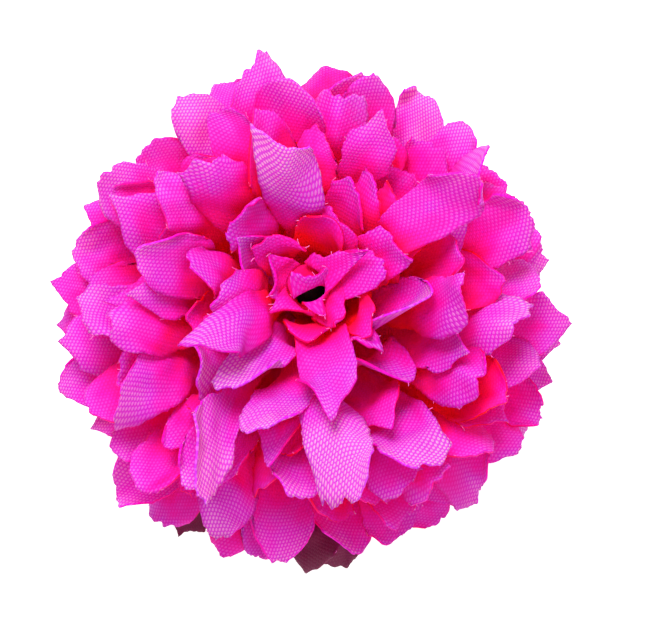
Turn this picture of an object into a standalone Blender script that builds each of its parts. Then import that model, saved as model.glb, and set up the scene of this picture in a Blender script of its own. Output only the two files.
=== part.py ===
"""Artificial chrysanthemum flower head: a dome of die-cut woven petals on a moulded black hub.

The head is fourteen sheets of woven polyester threaded on one black plastic hub. Each sheet is a ring
with narrow-rooted petals round it. Low sheets reach out and droop, high sheets stand up round the
middle, and every petal lies on the ones beneath it.
"""

import math
import random

import bmesh
import bpy
import numpy as np

MM = 0.001

# Dome of petal tips
HEAD_RADIUS = 24.6 * MM
DOME_CENTRE_HEIGHT = 9.6 * MM
DOME_RISE = 18.4 * MM
DOME_DIMPLE = 4.6 * MM
DIMPLE_RADIUS = 7.0 * MM
LOWEST_TIP_ANGLE = 107.0
HIGHEST_TIP_ANGLE = 13.5
TIP_CROWDING = 0.34
TIP_ARCH = 14.0

# Sheets
SHEET_THICKNESS = 0.6 * MM
SHEET_CLEARANCE = 0.34 * MM
SETTLE = 0.5
ROOT_RAISE = 0.7
FITTINGS = 3
LONGEST = 1.12
SHORTEST = 0.72
FIRST_SHEET_HEIGHT = 4.0 * MM
SHEET_PITCH = 1.17 * MM
HOLE_RADIUS = 1.2 * MM
TOP_RING_RADIUS = 2.0 * MM
LOW_RING_RADIUS = 3.6 * MM
ROOT_WIDTH = 1.0 * MM

# Typical petal width of each sheet, and how far its petals lean and curl, lowest sheet first
PETAL_WIDTHS = tuple(
    width * MM for width in (5.9, 5.9, 6.0, 6.0, 6.0, 6.0, 5.9, 5.9, 5.8, 5.7, 5.5, 5.2, 4.7, 4.2)
)
PETAL_LEANS = (0.7, 0.65, 0.6, 0.6, 0.6, 0.6, 0.6, 0.6, 0.55, 0.55, 0.5, 0.45, 0.15, 0.15)

# Hub
BASE_RADIUS = 9.0 * MM
BASE_THICKNESS = 1.5 * MM
BOSS_RADIUS = 4.2 * MM
BOSS_TOP = 3.4 * MM
POST_RADIUS = 0.9 * MM
PIN_HEAD_RADIUS = 1.4 * MM
PIN_HEAD_THICKNESS = 1.1 * MM

SEED = 41

# Petals of each sheet, lowest sheet first: bearing of the tip in degrees anticlockwise from +X, how far
# from the axis the tip reaches in mm, and the cut of its tip
CUTS = {"p": "pointed", "r": "rounded", "b": "blunt"}
SHEETS = (
    (
        (8, 22.6, "b"), (53, 22.0, "p"), (84, 22.4, "b"), (115, 22.4, "b"),
        (150, 22.6, "r"), (175, 22.8, "b"), (194, 23.0, "p"), (238, 24.7, "p"),
        (255, 22.6, "b"), (278, 24.3, "p"), (306, 22.0, "b"), (335, 23.6, "b"),
    ),
    (
        (14, 23.9, "p"), (37, 22.0, "b"), (72, 22.4, "b"), (103, 22.4, "b"), (139, 22.2, "p"),
        (165, 23.2, "p"), (181, 25.2, "p"), (207, 23.9, "p"), (234, 24.5, "b"), (250, 24.9, "p"),
        (269, 24.5, "p"), (301, 23.2, "r"), (345, 24.4, "p"),
    ),
    (
        (16, 23.4, "p"), (63, 24.4, "b"), (87, 25.0, "p"), (111, 24.8, "r"), (135, 21.8, "p"),
        (155, 24.3, "p"), (173, 25.2, "p"), (197, 24.9, "r"), (223, 25.2, "b"), (258, 23.7, "r"),
        (281, 23.4, "p"), (306, 22.6, "p"), (325, 23.4, "r"), (353, 24.2, "p"),
    ),
    (
        (19, 22.7, "r"), (41, 20.8, "b"), (78, 23.2, "p"), (100, 21.4, "b"), (136, 22.4, "r"),
        (165, 23.3, "r"), (188, 23.9, "p"), (218, 22.6, "b"), (239, 20.6, "b"), (263, 23.9, "r"),
        (290, 23.0, "b"), (311, 23.4, "b"), (334, 23.6, "b"), (356, 24.4, "p"),
    ),
    (
        (32, 21.2, "r"), (48, 22.1, "b"), (75, 22.6, "r"), (98, 20.2, "b"), (122, 22.9, "r"),
        (147, 22.3, "b"), (176, 20.8, "r"), (206, 22.6, "r"), (227, 23.0, "b"), (249, 23.1, "r"),
        (275, 20.0, "b"), (293, 21.7, "b"), (316, 21.2, "b"), (343, 22.0, "p"),
    ),
    (
        (4, 20.8, "b"), (26, 20.7, "b"), (51, 18.4, "b"), (82, 18.6, "b"), (105, 21.6, "b"),
        (130, 17.6, "r"), (152, 20.7, "b"), (183, 21.1, "b"), (203, 18.6, "b"), (229, 18.6, "b"),
        (261, 20.5, "b"), (287, 19.4, "b"), (302, 20.3, "b"), (327, 20.8, "p"),
    ),
    (
        (20, 20.9, "b"), (37, 19.2, "r"), (65, 16.5, "b"), (98, 19.0, "r"), (117, 18.4, "b"),
        (154, 20.0, "p"), (183, 18.2, "p"), (211, 19.6, "b"), (238, 20.2, "r"), (268, 18.6, "b"),
        (295, 19.6, "b"), (330, 19.7, "r"), (349, 18.2, "b"),
    ),
    (
        (2, 17.1, "r"), (25, 17.1, "p"), (54, 14.4, "b"), (94, 13.6, "r"), (130, 16.9, "r"), (162, 14.2, "b"),
        (192, 17.7, "r"), (230, 15.0, "r"), (262, 15.0, "b"), (302, 18.7, "b"), (330, 16.8, "b"),
    ),
    (
        (10, 16.7, "b"), (43, 13.0, "b"), (68, 17.0, "p"), (106, 12.6, "r"), (148, 16.1, "b"),
        (183, 15.8, "p"), (218, 15.9, "b"), (258, 16.2, "p"), (299, 14.4, "p"), (336, 14.9, "p"),
    ),
    (
        (18, 11.2, "p"), (54, 13.9, "b"), (88, 14.3, "r"), (130, 13.6, "b"), (170, 15.3, "r"),
        (200, 11.4, "b"), (241, 15.7, "b"), (281, 15.9, "b"), (312, 11.2, "r"), (351, 14.0, "b"),
    ),
    (
        (30, 13.3, "b"), (64, 12.2, "b"), (108, 12.8, "r"), (136, 11.0, "b"), (175, 10.4, "r"),
        (211, 10.2, "b"), (254, 13.8, "b"), (301, 11.4, "b"), (348, 11.0, "r"),
    ),
    (
        (20, 10.6, "b"), (62, 8.2, "r"), (103, 11.0, "b"), (150, 8.0, "p"),
        (189, 10.6, "b"), (237, 11.4, "b"), (278, 10.9, "p"), (325, 10.5, "b"),
    ),
    (
        (10, 7.0, "r"), (74, 7.2, "r"), (135, 6.8, "p"), (218, 8.7, "b"), (268, 7.4, "b"), (318, 6.8, "b"),
    ),
    (
        (40, 5.6, "b"), (100, 5.4, "r"), (172, 5.4, "p"), (240, 5.2, "b"), (316, 5.4, "b"),
    ),
)

# Stations along a petal from its root, and across it
STATIONS = (0.0, 0.26, 0.5, 0.68, 0.84, 1.0)
ACROSS = (-1.0, 0.0, 1.0)

# A petal is a narrow strap that widens into a blade, this many widths long, whose outline follows here
BLADE_LENGTH = 1.5
BLADE_PLACES = (-0.4, 0.0, 0.2, 0.4, 0.6, 0.8, 1.0)
BLADE_SHARES = (0.19, 0.24, 0.48, 0.82, 1.0, 0.97, 0.84)

# How much shorter each cut is at its corners than in its middle, in mm
TIP_DROPS = {"pointed": (1.7, 2.9), "rounded": (1.9, 2.8), "blunt": (0.6, 1.4)}


def smooth(low, high, value):
    part = np.clip((value - low) / (high - low), 0.0, 1.0)
    return part * part * (3.0 - 2.0 * part)


def tip_angle(level):
    """Degrees from straight up to a petal's tip, seen from the middle of the dome."""
    share = level + TIP_CROWDING * level * (1.0 - level)
    return np.maximum(LOWEST_TIP_ANGLE + (HIGHEST_TIP_ANGLE - LOWEST_TIP_ANGLE) * share, 5.0)


def tip_of(level):
    """Radius and height of a petal's tip, where level 0 is the lowest sheet and 1 the highest."""
    angle = np.radians(tip_angle(level))
    radius = HEAD_RADIUS * np.sin(angle)
    height = DOME_CENTRE_HEIGHT + DOME_RISE * np.cos(angle)
    return radius, height - DOME_DIMPLE * np.exp(-((radius / DIMPLE_RADIUS) ** 2))


def profile(level, along):
    """Radius and height on the curve that a petal follows from the hub to its tip."""
    height0 = FIRST_SHEET_HEIGHT + SHEET_PITCH * (len(SHEETS) - 1) * level
    radius3, height3 = tip_of(level)
    slope = np.radians(90.0 - tip_angle(level) - TIP_ARCH)
    middle = smooth(0.65, 1.0, level)
    back = (0.36 + 0.04 * middle) * np.hypot(radius3 - HOLE_RADIUS, height3 - height0)
    radius1 = HOLE_RADIUS + (0.34 - 0.1 * middle) * (radius3 - HOLE_RADIUS) + 0.6 * MM
    radius2 = radius3 - back * np.cos(slope)
    height2 = height3 - back * np.sin(slope)
    inside = np.clip(along, 0.0, 1.0)
    beyond = 3.0 * np.clip(along - 1.0, 0.0, None)
    rest = 1.0 - inside
    radius = rest**3 * HOLE_RADIUS + 3.0 * rest**2 * inside * radius1
    radius = radius + 3.0 * rest * inside**2 * radius2 + inside**3 * radius3
    height = (rest**3 + 3.0 * rest**2 * inside) * height0
    height = height + 3.0 * rest * inside**2 * height2 + inside**3 * height3
    return radius + beyond * (radius3 - radius2), height + beyond * (height3 - height2)


def sheet_gap(level, along):
    """Distance between neighbouring sheets, square to them."""
    small = 1e-3
    radius_a, height_a = profile(level - small, along)
    radius_b, height_b = profile(level + small, along)
    radius_c, height_c = profile(level, along - small)
    radius_d, height_d = profile(level, along + small)
    run = np.hypot(radius_d - radius_c, height_d - height_c)
    cross = (radius_d - radius_c) * (height_b - height_a) - (height_d - height_c) * (radius_b - radius_a)
    return cross / run / (2.0 * small * (len(SHEETS) - 1))


def along_for_radius(level, radius):
    steps = np.linspace(0.0, 1.25, 501)
    return float(np.interp(radius, profile(level, steps)[0], steps))


def curve_length(level, start, end):
    """Length of a sheet's curve between two places along it."""
    radius, height = profile(level, np.linspace(start, end, 40))
    return float(np.hypot(np.diff(radius), np.diff(height)).sum())


def fullness(petal, station):
    """Width of a petal at a station, as a share of its widest."""
    place = 1.0 - (1.0 - station) * petal["length"] / (BLADE_LENGTH * petal["width"])
    return np.interp(place, BLADE_PLACES, BLADE_SHARES)


def reach_across(petal, across):
    """How far along the petal its cut edge lies, at this place across it."""
    side = np.abs(across)
    if petal["style"] == "rounded":
        return 1.0 - petal["drop"] * (1.0 - np.sqrt(np.clip(1.0 - side**2, 0.0, 1.0)))
    if petal["style"] == "blunt":
        return 1.0 - petal["drop"] * smooth(0.55, 1.0, side) - petal["slant"] * across
    return 1.0 - petal["drop"] * side


def push(petal, station, across):
    """How far a place on the petal stands above its sheet's curve, in metres."""
    body = smooth(0.45, 0.9, station)
    hollow = petal["cup"] * (across**2 - 0.5) * body
    fold = petal["crease"] * (np.abs(across) - 0.5) * body
    twist = petal["roll"] * across * smooth(0.45, 1.0, station)
    curl = petal["curl"] * (smooth(0.6, 1.1, station) - 0.896 * station**2)
    wave = petal["wave"] * np.sin(petal["phase"] + 7.0 * station) * across * smooth(0.5, 0.8, station)
    return hollow + fold + twist + curl + wave


def settled(station):
    """How far the petals of every sheet sink before they lie on others, in sheets."""
    return SETTLE * smooth(0.2, 0.65, station)


def raised(petal, station, across):
    """How many sheets higher a place on the petal lies, to clear the petals beneath."""
    left, middle, right = [np.interp(station, STATIONS, petal["raise"][:, column]) for column in range(3)]
    return middle + np.where(across < 0.0, middle - left, right - middle) * across


def centre_bearing(petal, station):
    turn = petal["bearing"] - petal["root"]
    bend = petal["sweep"] * np.sin(math.pi * np.clip(station, 0.0, 1.0))
    start = turn * smooth(-0.1, 1.0, 0.0) * (1.0 - station)
    return petal["root"] + turn * smooth(-0.1, 1.0, station) - start + bend


def draw_petals():
    """The petals of every sheet, each with its own cut and bend."""
    chance = random.Random(SEED)
    sheets = []
    for number, tips in enumerate(SHEETS):
        level = number / (len(SHEETS) - 1)
        ring = LOW_RING_RADIUS + (TOP_RING_RADIUS - LOW_RING_RADIUS) * smooth(0.55, 1.0, level)
        ordered = sorted(tips)
        step = 360.0 / len(ordered)
        offset = sum(tip[0] - place * step for place, tip in enumerate(ordered)) / len(ordered)
        petals = []
        for place, (bearing, reach, cut) in enumerate(ordered):
            root = offset + place * step
            style = CUTS[cut]
            drop = TIP_DROPS[style]
            start = along_for_radius(level, ring)
            end = along_for_radius(level, reach * MM)
            length = curve_length(level, start, end)
            width = chance.uniform(0.9, 1.1) * PETAL_WIDTHS[number]
            lean = PETAL_LEANS[number]
            petals.append(
                {
                    "number": number,
                    "bearing": math.radians(bearing),
                    "root": math.radians(root),
                    "reach": reach * MM,
                    "drawn": end,
                    "along": end,
                    "start": start,
                    "width": width,
                    "length": length,
                    "style": style,
                    "drop": chance.uniform(*drop) * width / PETAL_WIDTHS[5] * MM / length,
                    "slant": chance.uniform(-1.1, 1.1) * MM / length,
                    "cup": chance.choice((-0.9, 0.9, 1.5)) * chance.uniform(0.5, 1.1) * lean * MM,
                    "crease": chance.choice((-0.8, 0.0, 0.7, 0.7)) * chance.uniform(0.5, 1.0) * lean * MM,
                    "roll": chance.uniform(-2.4, 2.4) * lean * MM,
                    "curl": chance.uniform(-2.4, 1.6) * lean * MM,
                    "wave": chance.uniform(-0.35, 0.35) * MM,
                    "phase": chance.uniform(0.0, 6.28),
                    "sweep": math.radians(chance.uniform(-8.0, 8.0)) * lean,
                    "raise": np.zeros((len(STATIONS), len(ACROSS))),
                }
            )
        sheets.append({"number": number, "level": level, "ring": ring, "petals": petals})
    return sheets


def fit_length(sheet, petal):
    """Cuts a petal longer or shorter, so that its tip ends at its reach once it is laid."""
    last = len(STATIONS) - 1
    tip_gap = sheet_gap(sheet["level"], petal["along"])
    shift = push(petal, 1.0, 0.0) / tip_gap + petal["raise"][last, 1] - settled(1.0)
    found = along_for_radius(sheet["level"] + shift / (len(SHEETS) - 1), petal["reach"])
    petal["along"] = min(max(found, SHORTEST * petal["drawn"]), LONGEST * petal["drawn"])
    petal["length"] = curve_length(sheet["level"], petal["start"], petal["along"])


def lay_down(sheets):
    """Raises each petal, station by station, until it clears all that lies beneath it."""
    steps = np.linspace(0.0, 1.2, 61)
    bearings = np.radians(np.arange(0.0, 360.0, 0.5))
    top = np.full((len(steps), len(bearings)), -5.0)
    grid_steps, grid_bearings = np.meshgrid(steps, bearings, indexing="ij")
    for sheet in sheets:
        level = sheet["level"]
        margin = (SHEET_THICKNESS + SHEET_CLEARANCE) / sheet_gap(level, steps)
        radius = profile(level, steps)[0][:, None]
        gap = sheet_gap(level, grid_steps)
        for petal in sheet["petals"]:
            for fitting in range(FITTINGS):
                if fitting:
                    fit_length(sheet, petal)
                station = (grid_steps - petal["start"]) / (petal["along"] - petal["start"])
                half = 0.5 * petal["width"] * fullness(petal, station)
                away = (grid_bearings - centre_bearing(petal, station) + math.pi) % (2.0 * math.pi) - math.pi
                across = away * radius / half
                edge = 0.45 * MM / half
                end = reach_across(petal, np.clip(across, -1.0, 1.0))
                under = (np.abs(across) < 1.0 + edge) & (station > 0.12) & (station < end + 0.03)
                across = np.clip(across, -1.0, 1.0)
                height = sheet["number"] - settled(station) + push(petal, station, across) / gap
                short = np.where(under, top + margin[:, None] - height, 0.0)
                for place in range(1, len(STATIONS)):
                    before = STATIONS[place - 1] - 0.01
                    after = STATIONS[min(place + 1, len(STATIONS) - 1)] + 0.02
                    for column in range(len(ACROSS)):
                        beside = np.abs(across - ACROSS[column]) <= 1.02
                        near = under & beside & (station > before) & (station < after)
                        most = max(short[near].max(), 0.0) if near.any() else 0.0
                        held_low = place == 1 and sheet is not sheets[-1]
                        petal["raise"][place, column] = min(most, ROOT_RAISE) if held_low else most
            lifted = height + raised(petal, station, across)
            top = np.where(under & (lifted > top), lifted, top)


def place_on(sheet, petal, station, across):
    """Position of a place on a petal's middle surface, in metres."""
    here = station * reach_across(petal, across)
    along = petal["start"] + (petal["along"] - petal["start"]) * here
    gap = sheet_gap(sheet["level"], along)
    shift = push(petal, here, across) / gap + raised(petal, here, across) - settled(here)
    level = sheet["level"] + shift / (len(SHEETS) - 1)
    radius, height = profile(level, along)
    half = 0.5 * petal["width"] * fullness(petal, here)
    bearing = centre_bearing(petal, here) + across * half / radius
    return radius * math.cos(bearing), radius * math.sin(bearing), height


def sheet_surface(sheet):
    """Points and triangles of a sheet's middle surface: the ring, then each petal."""
    level = sheet["level"]
    points = []
    triangles = []
    height = profile(level, 0.0)[1]
    columns = len(ACROSS)
    petals = sheet["petals"]
    inner = []
    outer = []
    for petal in petals:
        half = 0.5 * ROOT_WIDTH / sheet["ring"]
        for across in ACROSS:
            bearing = petal["root"] + across * half
            inner.append(len(points))
            points.append((HOLE_RADIUS * math.cos(bearing), HOLE_RADIUS * math.sin(bearing), height))
            outer.append(len(points))
            points.append((sheet["ring"] * math.cos(bearing), sheet["ring"] * math.sin(bearing), height))
    count = len(inner)
    for place in range(count):
        after = (place + 1) % count
        triangles.append((inner[place], outer[place], outer[after]))
        triangles.append((inner[place], outer[after], inner[after]))
    for order, petal in enumerate(petals):
        before = [outer[order * columns + column] for column in range(columns)]
        for station in STATIONS[1:]:
            row = []
            for across in ACROSS:
                row.append(len(points))
                points.append(place_on(sheet, petal, station, across))
            for column in range(columns - 1):
                a, b = before[column], before[column + 1]
                c, d = row[column], row[column + 1]
                if column == 0:
                    triangles.append((a, c, d))
                    triangles.append((a, d, b))
                else:
                    triangles.append((a, c, b))
                    triangles.append((b, c, d))
            before = row
    return np.array(points), np.array(triangles)


def thickened(points, triangles, thickness):
    """Both faces of a sheet and the wall round its cut edge."""
    corners = points[triangles]
    square = np.cross(corners[:, 1] - corners[:, 0], corners[:, 2] - corners[:, 0])
    normals = np.zeros_like(points)
    for corner in range(3):
        np.add.at(normals, triangles[:, corner], square)
    normals /= np.linalg.norm(normals, axis=1)[:, None]
    upper = points + normals * thickness / 2.0
    lower = points - normals * thickness / 2.0
    count = len(points)
    faces = [tuple(face) for face in triangles.tolist()]
    faces += [(c + count, b + count, a + count) for a, b, c in triangles.tolist()]
    edges = {}
    for a, b, c in triangles.tolist():
        for start, end in ((a, b), (b, c), (c, a)):
            edges[(start, end)] = edges.get((start, end), 0) + 1
    for start, end in edges:
        if (end, start) not in edges:
            faces.append((end, start, start + count))
            faces.append((end, start + count, end + count))
    return np.concatenate([upper, lower]), faces


def add_object(name, points, faces, material):
    mesh = bpy.data.meshes.new(name)
    shape = bmesh.new()
    corners = [shape.verts.new(point) for point in points]
    for face in faces:
        shape.faces.new([corners[index] for index in face])
    bmesh.ops.recalc_face_normals(shape, faces=shape.faces)
    shape.to_mesh(mesh)
    shape.free()
    obj = bpy.data.objects.new(name, mesh)
    obj.data.materials.append(material)
    bpy.context.scene.collection.objects.link(obj)
    return obj


def make_material(name, colour, roughness):
    material = bpy.data.materials.new(name)
    material.use_nodes = True
    shader = material.node_tree.nodes["Principled BSDF"]
    shader.inputs["Base Color"].default_value = (*colour, 1.0)
    shader.inputs["Roughness"].default_value = roughness
    material.diffuse_color = (*colour, 1.0)
    return material


def make_hub():
    """One turned moulding: a flat base, a boss, a thin post and a domed head that keeps the sheets on."""
    head_low = FIRST_SHEET_HEIGHT + SHEET_PITCH * (len(SHEETS) - 1) + SHEET_THICKNESS / 2.0 + 0.3 * MM
    head_top = head_low + PIN_HEAD_THICKNESS
    outline = (
        (0.0, 0.0),
        (BASE_RADIUS - 0.4 * MM, 0.0),
        (BASE_RADIUS, 0.4 * MM),
        (BASE_RADIUS, BASE_THICKNESS - 0.4 * MM),
        (BASE_RADIUS - 0.4 * MM, BASE_THICKNESS),
        (BOSS_RADIUS + 0.3 * MM, BASE_THICKNESS),
        (BOSS_RADIUS, BASE_THICKNESS + 0.3 * MM),
        (BOSS_RADIUS - 0.2 * MM, BOSS_TOP),
        (POST_RADIUS, BOSS_TOP),
        (POST_RADIUS, head_low),
        (PIN_HEAD_RADIUS, head_low),
        (PIN_HEAD_RADIUS, head_low + 0.35 * MM),
        (0.72 * PIN_HEAD_RADIUS, head_low + 0.85 * PIN_HEAD_THICKNESS),
        (0.0, head_top),
    )
    turns = 32
    points = []
    rings = []
    for radius, height in outline:
        ring = []
        for turn in range(turns if radius > 0.0 else 1):
            bearing = 2.0 * math.pi * turn / turns
            ring.append(len(points))
            points.append((radius * math.cos(bearing), radius * math.sin(bearing), height))
        rings.append(ring)
    faces = []
    for low, high in zip(rings, rings[1:]):
        for turn in range(turns):
            after = (turn + 1) % turns
            if len(low) == 1:
                faces.append((low[0], high[after], high[turn]))
            elif len(high) == 1:
                faces.append((low[turn], low[after], high[0]))
            else:
                faces.append((low[turn], low[after], high[after], high[turn]))
    return add_object("hub", points, faces, make_material("hub", (0.012, 0.012, 0.013), 0.42))


def main():
    for obj in list(bpy.data.objects):
        bpy.data.objects.remove(obj, do_unlink=True)
    make_hub()
    sheets = draw_petals()
    lay_down(sheets)
    for sheet in sheets:
        name = f"petal_layer_{sheet['number'] + 1:02d}"
        shade = sheet["level"]
        material = make_material(name, (0.80 - 0.06 * shade, 0.012 + 0.02 * shade, 0.36 + 0.1 * shade), 0.62)
        points, triangles = sheet_surface(sheet)
        points, faces = thickened(points, triangles, SHEET_THICKNESS)
        add_object(name, points, faces, material)


main()
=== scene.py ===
import math
import random

import bmesh
import bpy
import numpy as np
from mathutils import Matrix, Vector
from mathutils.bvhtree import BVHTree


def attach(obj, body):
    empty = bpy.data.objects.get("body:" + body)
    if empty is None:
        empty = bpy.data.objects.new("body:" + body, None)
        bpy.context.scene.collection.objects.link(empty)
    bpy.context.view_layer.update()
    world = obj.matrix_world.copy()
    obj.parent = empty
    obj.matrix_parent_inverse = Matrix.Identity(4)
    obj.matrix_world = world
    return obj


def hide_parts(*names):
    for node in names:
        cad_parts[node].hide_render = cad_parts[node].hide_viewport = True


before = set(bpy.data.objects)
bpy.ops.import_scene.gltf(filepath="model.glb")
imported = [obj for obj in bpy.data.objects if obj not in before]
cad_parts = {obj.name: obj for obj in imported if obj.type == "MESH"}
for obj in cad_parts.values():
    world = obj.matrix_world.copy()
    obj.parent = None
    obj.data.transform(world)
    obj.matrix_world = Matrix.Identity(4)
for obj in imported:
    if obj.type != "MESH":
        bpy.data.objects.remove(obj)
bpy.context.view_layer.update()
print("frame loaded:", len(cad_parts), "nodes")

mm = 0.001

# the same dome, sheets and petals as the solids have, lengths in mm
dome = {
    "headRadius": 24.6,
    "centreHeight": 9.6,
    "rise": 18.4,
    "dimple": 4.6,
    "dimpleRadius": 7.0,
    "tipAngles": (107.0, 13.5),
    "tipCrowding": 0.34,
    "tipArch": 14.0,
}
pile = {
    "solidThickness": 0.6,
    "clearance": 0.34,
    "settle": 0.5,
    "rootRaise": 0.7,
    "fittings": 3,
    "longest": 1.12,
    "shortest": 0.72,
    "firstHeight": 4.0,
    "pitch": 1.17,
    "holeRadius": 1.2,
    "topRing": 2.0,
    "lowRing": 3.6,
    "seed": 41,
}
petalCut = {
    "widths": (5.9, 5.9, 6.0, 6.0, 6.0, 6.0, 5.9, 5.9, 5.8, 5.7, 5.5, 5.2, 4.7, 4.2),
    "leans": (0.7, 0.65, 0.6, 0.6, 0.6, 0.6, 0.6, 0.6, 0.55, 0.55, 0.5, 0.45, 0.15, 0.15),
    "bladeLength": 1.5,
    "places": (-0.4, 0.0, 0.2, 0.4, 0.6, 0.8, 1.0),
    "shares": (0.38, 0.52, 0.74, 0.93, 1.0, 0.91, 0.70),
    "stations": (0.0, 0.26, 0.5, 0.68, 0.84, 1.0),
    "drops": {"pointed": (1.7, 2.9), "rounded": (1.9, 2.8), "blunt": (0.6, 1.4)},
}

# petals of each sheet, lowest first: bearing of the tip in degrees, its reach in mm, and its cut
tipCuts = {"p": "pointed", "r": "rounded", "b": "blunt"}
petalTips = (
    (
        (8, 22.6, "b"), (53, 22.0, "p"), (84, 22.4, "b"), (115, 22.4, "b"),
        (150, 22.6, "r"), (175, 22.8, "b"), (194, 23.0, "p"), (238, 24.7, "p"),
        (255, 22.6, "b"), (278, 24.3, "p"), (306, 22.0, "b"), (335, 23.6, "b"),
    ),
    (
        (14, 23.9, "p"), (37, 22.0, "b"), (72, 22.4, "b"), (103, 22.4, "b"), (139, 22.2, "p"),
        (165, 23.2, "p"), (181, 25.2, "p"), (207, 23.9, "p"), (234, 24.5, "b"), (250, 24.9, "p"),
        (269, 24.5, "p"), (301, 23.2, "r"), (345, 24.4, "p"),
    ),
    (
        (16, 23.4, "p"), (63, 24.4, "b"), (87, 25.0, "p"), (111, 24.8, "r"), (135, 21.8, "p"),
        (155, 24.3, "p"), (173, 25.2, "p"), (197, 24.9, "r"), (223, 25.2, "b"), (258, 23.7, "r"),
        (281, 23.4, "p"), (306, 22.6, "p"), (325, 23.4, "r"), (353, 24.2, "p"),
    ),
    (
        (19, 22.7, "r"), (41, 20.8, "b"), (78, 23.2, "p"), (100, 21.4, "b"), (136, 22.4, "r"),
        (165, 23.3, "r"), (188, 23.9, "p"), (218, 22.6, "b"), (239, 20.6, "b"), (263, 23.9, "r"),
        (290, 23.0, "b"), (311, 23.4, "b"), (334, 23.6, "b"), (356, 24.4, "p"),
    ),
    (
        (32, 21.2, "r"), (48, 22.1, "b"), (75, 22.6, "r"), (98, 20.2, "b"), (122, 22.9, "r"),
        (147, 22.3, "b"), (176, 20.8, "r"), (206, 22.6, "r"), (227, 23.0, "b"), (249, 23.1, "r"),
        (275, 20.0, "b"), (293, 21.7, "b"), (316, 21.2, "b"), (343, 22.0, "p"),
    ),
    (
        (4, 20.8, "b"), (26, 20.7, "b"), (51, 18.4, "b"), (82, 18.6, "b"), (105, 21.6, "b"),
        (130, 17.6, "r"), (152, 20.7, "b"), (183, 21.1, "b"), (203, 18.6, "b"), (229, 18.6, "b"),
        (261, 20.5, "b"), (287, 19.4, "b"), (302, 20.3, "b"), (327, 20.8, "p"),
    ),
    (
        (20, 20.9, "b"), (37, 19.2, "r"), (65, 16.5, "b"), (98, 19.0, "r"), (117, 18.4, "b"),
        (154, 20.0, "p"), (183, 18.2, "p"), (211, 19.6, "b"), (238, 20.2, "r"), (268, 18.6, "b"),
        (295, 19.6, "b"), (330, 19.7, "r"), (349, 18.2, "b"),
    ),
    (
        (2, 17.1, "r"), (25, 17.1, "p"), (54, 14.4, "b"), (94, 13.6, "r"), (130, 16.9, "r"),
        (162, 14.2, "b"), (192, 17.7, "r"), (230, 15.0, "r"), (262, 15.0, "b"), (302, 18.7, "b"),
        (330, 16.8, "b"),
    ),
    (
        (10, 16.7, "b"), (43, 13.0, "b"), (68, 17.0, "p"), (106, 12.6, "r"), (148, 16.1, "b"),
        (183, 15.8, "p"), (218, 15.9, "b"), (258, 16.2, "p"), (299, 14.4, "p"), (336, 14.9, "p"),
    ),
    (
        (18, 11.2, "p"), (54, 13.9, "b"), (88, 14.3, "r"), (130, 13.6, "b"), (170, 15.3, "r"),
        (200, 11.4, "b"), (241, 15.7, "b"), (281, 15.9, "b"), (312, 11.2, "r"), (351, 14.0, "b"),
    ),
    (
        (30, 13.3, "b"), (64, 12.2, "b"), (108, 12.8, "r"), (136, 11.0, "b"), (175, 10.4, "r"),
        (211, 10.2, "b"), (254, 13.8, "b"), (301, 11.4, "b"), (348, 11.0, "r"),
    ),
    (
        (20, 10.6, "b"), (62, 8.2, "r"), (103, 11.0, "b"), (150, 8.0, "p"),
        (189, 10.6, "b"), (237, 11.4, "b"), (278, 10.9, "p"), (325, 10.5, "b"),
    ),
    (
        (10, 7.0, "r"), (74, 7.2, "r"), (135, 6.8, "p"), (218, 8.7, "b"), (268, 7.4, "b"), (318, 6.8, "b"),
    ),
    (
        (40, 5.6, "b"), (100, 5.4, "r"), (172, 5.4, "p"), (240, 5.2, "b"), (316, 5.4, "b"),
    ),
)
sheetCount = len(petalTips)


def smooth(low, high, value):
    part = np.clip((value - low) / (high - low), 0.0, 1.0)
    return part * part * (3.0 - 2.0 * part)


# degrees from straight up, seen from the middle of the dome
def tipAngle(level):
    low, high = dome["tipAngles"]
    share = level + dome["tipCrowding"] * level * (1.0 - level)
    return np.maximum(low + (high - low) * share, 5.0)


def tipOf(level):
    angle = np.radians(tipAngle(level))
    radius = dome["headRadius"] * mm * np.sin(angle)
    height = (dome["centreHeight"] + dome["rise"] * np.cos(angle)) * mm
    return radius, height - dome["dimple"] * mm * np.exp(-((radius / (dome["dimpleRadius"] * mm)) ** 2))


# radius and height on the curve that a petal follows from the hub to its tip
def profile(level, along):
    hole = pile["holeRadius"] * mm
    height0 = (pile["firstHeight"] + pile["pitch"] * (sheetCount - 1) * level) * mm
    radius3, height3 = tipOf(level)
    slope = np.radians(90.0 - tipAngle(level) - dome["tipArch"])
    middle = smooth(0.65, 1.0, level)
    back = (0.36 + 0.04 * middle) * np.hypot(radius3 - hole, height3 - height0)
    radius1 = hole + (0.34 - 0.1 * middle) * (radius3 - hole) + 0.6 * mm
    radius2 = radius3 - back * np.cos(slope)
    height2 = height3 - back * np.sin(slope)
    inside = np.clip(along, 0.0, 1.0)
    beyond = 3.0 * np.clip(along - 1.0, 0.0, None)
    rest = 1.0 - inside
    radius = rest**3 * hole + 3.0 * rest**2 * inside * radius1
    radius = radius + 3.0 * rest * inside**2 * radius2 + inside**3 * radius3
    height = (rest**3 + 3.0 * rest**2 * inside) * height0
    height = height + 3.0 * rest * inside**2 * height2 + inside**3 * height3
    return radius + beyond * (radius3 - radius2), height + beyond * (height3 - height2)


# distance between neighbouring sheets, square to them
def sheetGap(level, along):
    small = 1e-3
    radiusA, heightA = profile(level - small, along)
    radiusB, heightB = profile(level + small, along)
    radiusC, heightC = profile(level, along - small)
    radiusD, heightD = profile(level, along + small)
    run = np.hypot(radiusD - radiusC, heightD - heightC)
    cross = (radiusD - radiusC) * (heightB - heightA) - (heightD - heightC) * (radiusB - radiusA)
    return cross / run / (2.0 * small * (sheetCount - 1))


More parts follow.
